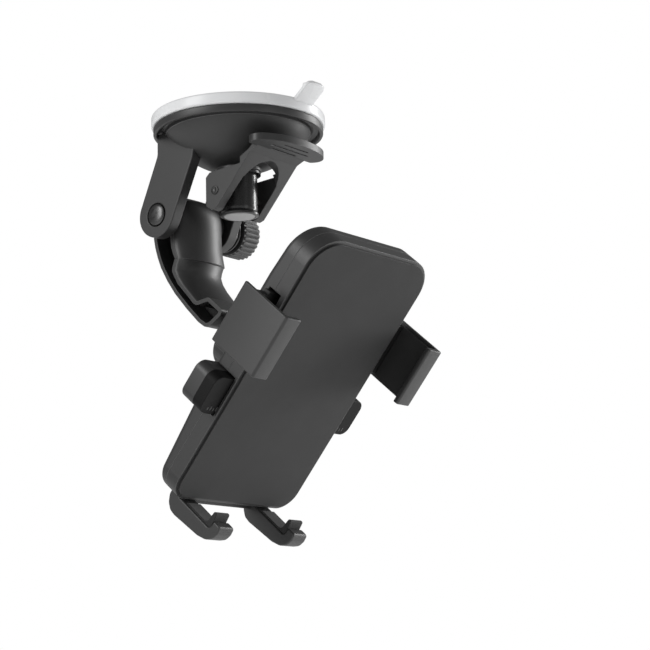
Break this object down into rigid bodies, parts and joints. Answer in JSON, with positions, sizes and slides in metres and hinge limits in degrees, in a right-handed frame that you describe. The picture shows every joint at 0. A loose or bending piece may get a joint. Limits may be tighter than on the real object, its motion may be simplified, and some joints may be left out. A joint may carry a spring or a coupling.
{
  "type": "car phone mount",
  "caption": "Car phone mount: lever suction base with two ears, curved pivoting arm with a clamping knob, ball joint, and a cradle with sliding side jaws, release buttons and feet",
  "frame": {"origin": "centre of the suction face that is pressed onto the glass", "axes": "+Z points out of the suction face to the glass, +X runs along the arm's pivot towards the knob, +Y completes the right-handed set; the arm hangs from the pivot on the +Y side"},
  "size_m": [0.08, 0.0887, 0.148],
  "materials": {
    "soft_gel": "translucent grey-white silicone gel",
    "dark_abs": "dark grey moulded ABS, fine satin texture",
    "black_abs": "black ABS with a soft gloss",
    "steel": "zinc-plated or spring steel",
    "bright_metal": "polished steel",
    "acetal": "dark acetal, smooth",
    "black_rubber": "soft black rubber, fine ribs"
  },
  "bodies": {
    "base": {"suction_cup": "soft_gel", "base_cap": "dark_abs", "wear_washer": "acetal", "release_spring": "steel", "pivot_bolt": "bright_metal", "friction_washer_left": "acetal", "friction_washer_right": "acetal", "knob_collar": "black_abs"},
    "stem": {"stem_insert": "steel", "stem_post": "black_abs", "post_end_cap": "bright_metal"},
    "thumb_lever": {"lever": "dark_abs", "lever_pin": "steel"},
    "pivot_knob": {"knob": "dark_abs", "knob_nut": "steel"},
    "swing_arm": {"arm": "dark_abs"},
    "liner": {"ball_liner": "acetal"},
    "cradle": {"ball_socket": "dark_abs", "rear_cover": "dark_abs", "front_cover": "dark_abs", "front_pad": "black_rubber", "cover_screws": "steel", "clamp_spring": "steel", "left_button_spring": "steel", "right_button_spring": "steel"},
    "ring_nut": {"lock_nut": "dark_abs"},
    "left_jaw": {"left_clamp": "dark_abs", "left_clamp_pad": "black_rubber"},
    "right_jaw": {"right_clamp": "dark_abs", "right_clamp_pad": "black_rubber"},
    "gear": {"pinion": "acetal"},
    "catch": {"ratchet_pawl": "acetal"},
    "left_release": {"left_button": "black_abs"},
    "right_release": {"right_button": "black_abs"},
    "feet": {"foot_bracket": "dark_abs", "foot_pads": "black_rubber"}
  },
  "joints": [
    {"name": "lever_turn", "type": "hinge", "parent": "stem", "child": "thumb_lever", "pos_m": [0, 0, -0.0276], "axis": [1, 0, 0], "range_deg": [0, 95]},
    {"name": "stem_slide", "type": "slide", "parent": "base", "child": "stem", "axis": [0, 0, 1], "range_m": [0, 0.00198], "deforming": ["suction_cup", "release_spring"]},
    {"name": "arm_tilt", "type": "hinge", "parent": "base", "child": "swing_arm", "pos_m": [0, 0.0225, -0.0327], "axis": [1, 0, 0], "range_deg": [-30, 60]},
    {"name": "knob_turn", "type": "hinge", "parent": "base", "child": "pivot_knob", "pos_m": [0.0198, 0.0225, -0.0327], "axis": [1, 0, 0], "range_deg": [-180, 180]},
    {"name": "cradle_tilt", "type": "hinge", "parent": "swing_arm", "child": "liner", "pos_m": [0, -0.0053, -0.07927], "axis": [1, 0, 0], "range_deg": [-20, 20]},
    {"name": "cradle_spin", "type": "hinge", "parent": "liner", "child": "cradle", "pos_m": [0, -0.0053, -0.07927], "axis": [0, -0.7547, -0.6561], "continuous": true},
    {"name": "lock_nut_turn", "type": "hinge", "parent": "cradle", "child": "ring_nut", "pos_m": [0, -0.0053, -0.07927], "axis": [0, -0.7547, -0.6561], "range_deg": [-60, 60]},
    {"name": "left_clamp_slide", "type": "slide", "parent": "cradle", "child": "left_jaw", "axis": [-1, 0, 0], "range_m": [-0.0075, 0.007]},
    {"name": "right_clamp_slide", "type": "slide", "parent": "cradle", "child": "right_jaw", "axis": [1, 0, 0], "range_m": [-0.0075, 0.007]},
    {"name": "pinion_turn", "type": "hinge", "parent": "cradle", "child": "gear", "pos_m": [0, -0.03145, -0.07815], "axis": [0, -0.7547, -0.6561], "range_deg": [-90, 85]},
    {"name": "left_button_press", "type": "slide", "parent": "cradle", "child": "left_release", "axis": [1, 0, 0], "range_m": [0, 0.0025], "stiffness_N_per_m": 900, "springref_m": -0.001},
    {"name": "right_button_press", "type": "slide", "parent": "cradle", "child": "right_release", "axis": [-1, 0, 0], "range_m": [0, 0.0025]},
    {"name": "pawl_release", "type": "slide", "parent": "cradle", "child": "catch", "axis": [0, 0.6561, -0.7547], "range_m": [0, 0.0025]},
    {"name": "feet_slide", "type": "slide", "parent": "cradle", "child": "feet", "axis": [0, 0.6561, -0.7547], "range_m": [0, 0.012]}
  ],
  "couplings": [
    {"joint": "lever_turn", "follows": "stem_slide", "rad_per_m": 833},
    {"joint": "right_clamp_slide", "follows": "left_clamp_slide", "ratio": 1},
    {"joint": "pinion_turn", "follows": "left_clamp_slide", "rad_per_m": 200},
    {"joint": "right_button_press", "follows": "left_button_press", "ratio": 1},
    {"joint": "pawl_release", "follows": "left_button_press", "ratio": 1}
  ]
}
